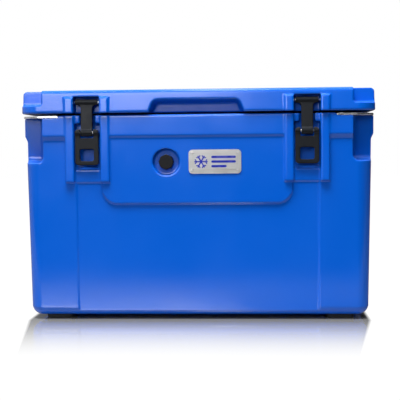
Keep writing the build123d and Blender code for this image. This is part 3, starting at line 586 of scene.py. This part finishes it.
# Only the outer skins of a CAD mesh, welded: an inner void has its faces turned inwards
def outerSkin(node, name):
    work = bmesh.new()
    work.from_mesh(nodes[node].data)
    bmesh.ops.remove_doubles(work, verts=work.verts, dist=meshSettings["weld"])
    work.faces.ensure_lookup_table()
    work.faces.index_update()
    seen = set()
    doomed = []
    for start in work.faces:
        if start.index in seen:
            continue
        island = [start]
        seen.add(start.index)
        for face in island:
            for edge in face.edges:
                for other in edge.link_faces:
                    if other.index not in seen:
                        seen.add(other.index)
                        island.append(other)
        volume = 0.0
        for face in island:
            corner = [v.co for v in face.verts]
            for i in range(1, len(corner) - 1):
                volume += corner[0].dot(corner[i].cross(corner[i + 1]))
        if volume < 0:
            doomed += island
    bmesh.ops.delete(work, geom=doomed, context="FACES")
    mesh = bpy.data.meshes.new(name)
    work.to_mesh(mesh)
    work.free()
    return linkObject(name, mesh)


# A moulded copy of a CAD node: remeshed and relaxed, so that every edge is rounded
def mouldedCopy(node, name, voxel, passes):
    piece = outerSkin(node, name)
    remesh = piece.modifiers.new("Remesh", "REMESH")
    remesh.mode = "VOXEL"
    remesh.voxel_size = voxel
    relax = piece.modifiers.new("Relax", "SMOOTH")
    relax.factor = meshSettings["relax"]
    relax.iterations = passes
    return applyModifiers(piece)


def readPoints(mesh):
    points = np.empty(len(mesh.vertices) * 3)
    mesh.vertices.foreach_get("co", points)
    return points.reshape(-1, 3)


def writePoints(mesh, points):
    mesh.vertices.foreach_set("co", points.ravel())
    mesh.update()


# Takes the facets out of the large upright corners: points near a corner's true arc go onto it
def trueCorners(points, centre, radiusAt):
    reach = meshSettings["cornerReach"]
    away = np.abs(points[:, :2]) - np.array(centre)
    length = np.hypot(away[:, 0], away[:, 1])
    wanted = radiusAt(points[:, 2])
    inside = (away[:, 0] > 0) & (away[:, 1] > 0)
    pull = np.clip((reach - np.abs(length - wanted)) / (reach * 0.5), 0, 1) * inside
    scale = 1 + pull * (wanted / np.maximum(length, 1e-6) - 1)
    moved = away * scale[:, None] + np.array(centre)
    points[:, :2] = np.where(inside[:, None], np.sign(points[:, :2]) * moved, points[:, :2])
    return points


# Fewer faces where the surface is flat, with normals weighed by area so that it stays flat
def thinFlats(piece, most):
    piece.data.calc_loop_triangles()
    count = len(piece.data.loop_triangles)
    if count > most:
        thin = piece.modifiers.new("Thin", "DECIMATE")
        thin.ratio = most / count
        applyModifiers(piece)
    piece.data.polygons.foreach_set("use_smooth", [True] * len(piece.data.polygons))
    weigh = piece.modifiers.new("Weigh", "WEIGHTED_NORMAL")
    weigh.mode = "FACE_AREA_WITH_ANGLE"
    weigh.weight = meshSettings["normalWeight"]
    return applyModifiers(piece)


def finishPiece(piece, node, body, material):
    piece.data.materials.clear()
    piece.data.materials.append(material)
    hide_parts(node)
    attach(piece, body)


def tangent(degrees):
    return math.tan(math.radians(degrees))


# The blue shells. voxel: how fine the mesh is; passes: how round the edges get
tubSettings = {
    "voxel": 0.0016,
    "passes": 2,
    "most": 190000,
    "corner": (0.312, 0.169),
    "wallRadius": 0.031,
    "wallTop": 0.355,
    "wallLean": 1.07,
    "bandRadius": 0.036,
    "mouthCorner": (0.255, 0.120),
    "mouthRadius": 0.030,
    "mouthTop": 0.406,
    "mouthLean": 1.5,
}
lidSettings = {
    "voxel": 0.0015,
    "passes": 2,
    "most": 170000,
    "corner": (0.312, 0.172),
    "radius": 0.038,
    "bottom": 0.410,
    "lean": 1.5,
    "padFace": 0.2104,
    "padLean": 1.7,
    "padBlend": 0.0012,
}


def makeTub(settings):
    piece = mouldedCopy("tub_shell", "tubShell", settings["voxel"], settings["passes"])
    points = readPoints(piece.data)
    lean = tangent(settings["wallLean"])
    mouthLean = tangent(settings["mouthLean"])
    points = trueCorners(
        points, settings["corner"], lambda z: settings["wallRadius"] - (settings["wallTop"] - z) * lean
    )
    points = trueCorners(points, settings["corner"], lambda z: settings["bandRadius"] + 0 * z)
    points = trueCorners(
        points, settings["mouthCorner"],
        lambda z: settings["mouthRadius"] - (settings["mouthTop"] - z) * mouthLean,
    )
    writePoints(piece.data, points)
    thinFlats(piece, settings["most"])
    finishPiece(piece, "tub_shell", "tub", shellPlastic)
    print("tub", len(piece.data.polygons))


# The pads beside the latches lean back a little, as the lid's sides do
def leanPads(points, settings):
    share = np.clip((-points[:, 1] - settings["padFace"]) / settings["padBlend"], 0, 1)
    points[:, 1] += share * (points[:, 2] - settings["bottom"]) * tangent(settings["padLean"])
    return points


def makeLid(settings):
    piece = mouldedCopy("lid_shell", "lidShell", settings["voxel"], settings["passes"])
    points = readPoints(piece.data)
    lean = tangent(settings["lean"])
    points = trueCorners(
        points, settings["corner"], lambda z: settings["radius"] - (z - settings["bottom"]) * lean
    )
    points = leanPads(points, settings)
    writePoints(piece.data, points)
    thinFlats(piece, settings["most"])
    finishPiece(piece, "lid_shell", "lid", shellPlastic)
    print("lid", len(piece.data.polygons))


makeTub(tubSettings)
makeLid(lidSettings)

# Small moulded pieces: node, new name, voxel, passes, slot, body, material
smallMouldings = []
for side in ("left", "right"):
    link = "latch_link_" + side
    lever = "latch_lever_" + side
    for node, start in ((link, "latchLink."), (lever, "latchLever.")):
        smallMouldings.append((node, start + side, 0.0007, 4, "latch_plastic", node, latchPlastic))
    for end in ("front", "rear"):
        foot = "foot_" + end + "_" + side
        name = "foot." + end + "." + side
        smallMouldings.append((foot, name, 0.0010, 3, "foot_rubber", "tub", footRubber))
for node, name, voxel in (("vent_knob", "ventKnob", 0.0006), ("drain_plug", "drainPlug", 0.0008)):
    smallMouldings.append((node, name, voxel, 3, "fitting_plastic", node, fittingPlastic))

for node, name, voxel, passes, slot, body, material in smallMouldings:
    piece = mouldedCopy(node, name, voxel, passes)
    thinFlats(piece, meshSettings["smallMost"])
    finishPiece(piece, node, body, material)
print("small mouldings made")


# CAD nodes that stay, with a small round on their edges
def dressNode(node, material, width=0.0):
    piece = nodes[node]
    piece.data.materials.clear()
    piece.data.materials.append(material)
    if width:
        weld = piece.modifiers.new("Weld", "WELD")
        weld.merge_threshold = meshSettings["weld"]
        bevel = piece.modifiers.new("Bevel", "BEVEL")
        bevel.width = width
        bevel.segments = meshSettings["bevelSegments"]
        bevel.limit_method = "ANGLE"
        bevel.angle_limit = math.radians(meshSettings["bevelAngle"])
        bevel.harden_normals = True


dressNode("tub_foam", wallFoam)
dressNode("lid_foam", wallFoam)
dressNode("lid_gasket", sealRubber, 0.0012)
dressNode("badge_plate", badgeMetal, 0.0003)
dressNode("badge_emblem", badgeEnamel, 0.00012)
dressNode("badge_rivets", rivetMetal)
dressNode("vent_bushing", fittingPlastic, 0.0005)
dressNode("vent_nut", fittingPlastic, 0.0006)
dressNode("vent_seal", sealRubber, 0.0003)
dressNode("drain_bushing", fittingPlastic, 0.0008)
dressNode("drain_nut", fittingPlastic, 0.0008)
dressNode("drain_seal", sealRubber, 0.0004)
dressNode("foot_screws", screwSteel, 0.0004)
for side in ("left", "right"):
    dressNode("latch_lid_pin_" + side, pinSteel, 0.0003)
    dressNode("latch_lever_pin_" + side, pinSteel, 0.0003)
    dressNode("lock_plate_" + side, plateSteel, 0.0005)
    dressNode("lock_plate_screws_" + side, screwSteel)
    dressNode("hinge_rod_" + side, pinSteel, 0.0003)
    dressNode("hinge_caps_" + side, capPlastic, 0.0004)
print("kept nodes dressed")


# Stage: a pale floor, polished near the chest, with white all round it
stageSettings = {
    "floorSize": 9.0,
    "floorShade": 0.30,
    "floorSeen": 1.05,
    "polish": 0.68,
    "polishStart": -0.64,
    "polishFull": -0.18,
    "polishRough": 0.05,
    "sideWhite": (0.332, 0.342),
    "sideLean": 0.18,
    "leanStart": -0.2,
    "backWhite": (-0.05, 0.1),
    "domeLight": 0.7,
    "domeEdge": (0.2, 0.8),
    "leftGlow": 0.55,
    "glowEdge": (0.02, -1.0),
    "skySeen": 1.0,
}


# A band that runs smoothly from 0 at the first place to 1 at the second
def addBand(tree, value, edges, top=1.0):
    band = addNode(
        tree, "ShaderNodeMapRange", {"From Min": edges[0], "From Max": edges[1], "To Max": top},
        {"Value": value}, interpolation_type="SMOOTHSTEP",
    )
    return band.outputs["Result"]


def makeSheet(name, low, high, height):
    mesh = bpy.data.meshes.new(name)
    corners = [(low[0], low[1]), (high[0], low[1]), (high[0], high[1]), (low[0], high[1])]
    mesh.from_pydata([corner + (height,) for corner in corners], [], [(0, 1, 2, 3)])
    return linkObject(name, mesh)


def makeFloor(settings):
    size = settings["floorSize"]
    floor = makeSheet("studioFloor", (-size, -size), (size, size), 0.0)
    material = bpy.data.materials.new("studioFloor")
    material.use_nodes = True
    tree = material.node_tree
    tree.nodes.clear()
    out = addNode(tree, "ShaderNodeOutputMaterial")
    shade = settings["floorShade"]
    matt = addNode(tree, "ShaderNodeBsdfDiffuse", {"Color": (shade, shade, shade, 1)})
    gloss = addNode(
        tree, "ShaderNodeBsdfGlossy", {"Color": (1, 1, 1, 1), "Roughness": settings["polishRough"]}
    )
    place = addNode(tree, "ShaderNodeTexCoord")
    split = addNode(tree, "ShaderNodeSeparateXYZ", None, {"Vector": place.outputs["Object"]})
    along = split.outputs["Y"]
    polishEdge = (settings["polishStart"], settings["polishFull"])
    mix = addNode(
        tree, "ShaderNodeMixShader", None, {"Fac": addBand(tree, along, polishEdge, settings["polish"])}
    )
    tree.links.new(matt.outputs["BSDF"], mix.inputs[1])
    tree.links.new(gloss.outputs["BSDF"], mix.inputs[2])
    ahead = addMath(tree, "MINIMUM", addMath(tree, "SUBTRACT", along, settings["leanStart"]), 0.0)
    lean = addMath(tree, "MULTIPLY", ahead, settings["sideLean"])
    across = addMath(tree, "SUBTRACT", addMath(tree, "ABSOLUTE", split.outputs["X"]), lean)
    far = addBand(tree, across, settings["sideWhite"])
    front = addBand(tree, along, polishEdge[::-1])
    behind = addBand(tree, along, settings["backWhite"])
    white = addMath(tree, "MAXIMUM", addMath(tree, "MAXIMUM", far, front), behind)
    path = addNode(tree, "ShaderNodeLightPath")
    seen = addMath(tree, "MULTIPLY", white, path.outputs["Is Camera Ray"])
    glow = addNode(
        tree, "ShaderNodeEmission", {"Color": (1, 1, 1, 1), "Strength": settings["floorSeen"]}
    )
    whole = addNode(tree, "ShaderNodeMixShader", None, {"Fac": seen})
    tree.links.new(mix.outputs["Shader"], whole.inputs[1])
    tree.links.new(glow.outputs["Emission"], whole.inputs[2])
    tree.links.new(whole.outputs["Shader"], out.inputs["Surface"])
    floor.data.materials.append(material)


# A dark card in front of the chest, seen only in its gloss: the edge of the white table
cardSettings = {
    "low": (-4, -8),
    "high": (4, -0.62),
    "height": 0.002,
    "colour": (0.01, 0.01, 0.01, 1),
}


def makeDarkCard(settings):
    card = makeSheet("darkCard", settings["low"], settings["high"], settings["height"])
    material, _, shader = newMaterial("darkCard", Roughness=1.0, Specular_IOR_Level=0.0)
    shader.inputs["Base Color"].default_value = settings["colour"]
    card.data.materials.append(material)
    card.visible_camera = False
    card.visible_shadow = False


# The studio around: bright overhead, dark in front, with a soft glow from the left
def makeWorld(settings):
    world = bpy.data.worlds.new("studioWorld")
    scene.world = world
    world.use_nodes = True
    tree = world.node_tree
    tree.nodes.clear()
    out = addNode(tree, "ShaderNodeOutputWorld")
    place = addNode(tree, "ShaderNodeTexCoord")
    split = addNode(tree, "ShaderNodeSeparateXYZ", None, {"Vector": place.outputs["Generated"]})
    up = addBand(tree, split.outputs["Z"], settings["domeEdge"], settings["domeLight"])
    start, stop = settings["glowEdge"]
    left = addNode(
        tree, "ShaderNodeMapRange", {"From Min": start, "From Max": stop, "To Max": settings["leftGlow"]},
        {"Value": split.outputs["X"]},
    )
    total = addMath(tree, "ADD", up, left.outputs["Result"])
    lit = addNode(tree, "ShaderNodeBackground", {"Color": (1, 1, 1, 1)}, {"Strength": total})
    seen = addNode(
        tree, "ShaderNodeBackground", {"Color": (1, 1, 1, 1), "Strength": settings["skySeen"]}
    )
    path = addNode(tree, "ShaderNodeLightPath")
    mix = addNode(tree, "ShaderNodeMixShader", None, {"Fac": path.outputs["Is Camera Ray"]})
    tree.links.new(lit.outputs["Background"], mix.inputs[1])
    tree.links.new(seen.outputs["Background"], mix.inputs[2])
    tree.links.new(mix.outputs["Shader"], out.inputs["Surface"])


# Lamps: name, place, target, width, height, power. The key lamp only shows in the gloss, and
# the top and front ones only light the surfaces
lamps = [
    ("keyPanel", (-0.95, -4.2, 1.55), (-0.3, 0.0, 0.6), 1.9, 1.7, 72.0),
    ("stripPanel", (-0.05, -0.4, 2.5), (-0.05, -0.4, 0.0), 0.27, 2.4, 14.0),
    ("topPanel", (-0.25, -0.85, 2.4), (0.0, -0.2, 0.2), 1.5, 0.7, 118.0),
    ("frontFill", (-0.5, -3.6, 1.3), (0.0, -0.2, 0.3), 1.6, 1.2, 38.0),
]


def makeLamps():
    for name, spot, target, width, height, power in lamps:
        lamp = bpy.data.objects.new(name, bpy.data.lights.new(name, "AREA"))
        lamp.data.shape = "RECTANGLE"
        lamp.data.size = width
        lamp.data.size_y = height
        lamp.data.energy = power
        lamp.location = spot
        aimedAt(lamp, target)
        lamp.visible_glossy = name not in ("topPanel", "frontFill")
        lamp.visible_diffuse = name != "keyPanel"
        scene.collection.objects.link(lamp)


makeFloor(stageSettings)
makeDarkCard(cardSettings)
makeWorld(stageSettings)
makeLamps()
scene.view_settings.view_transform = "Standard"
print("stage set")
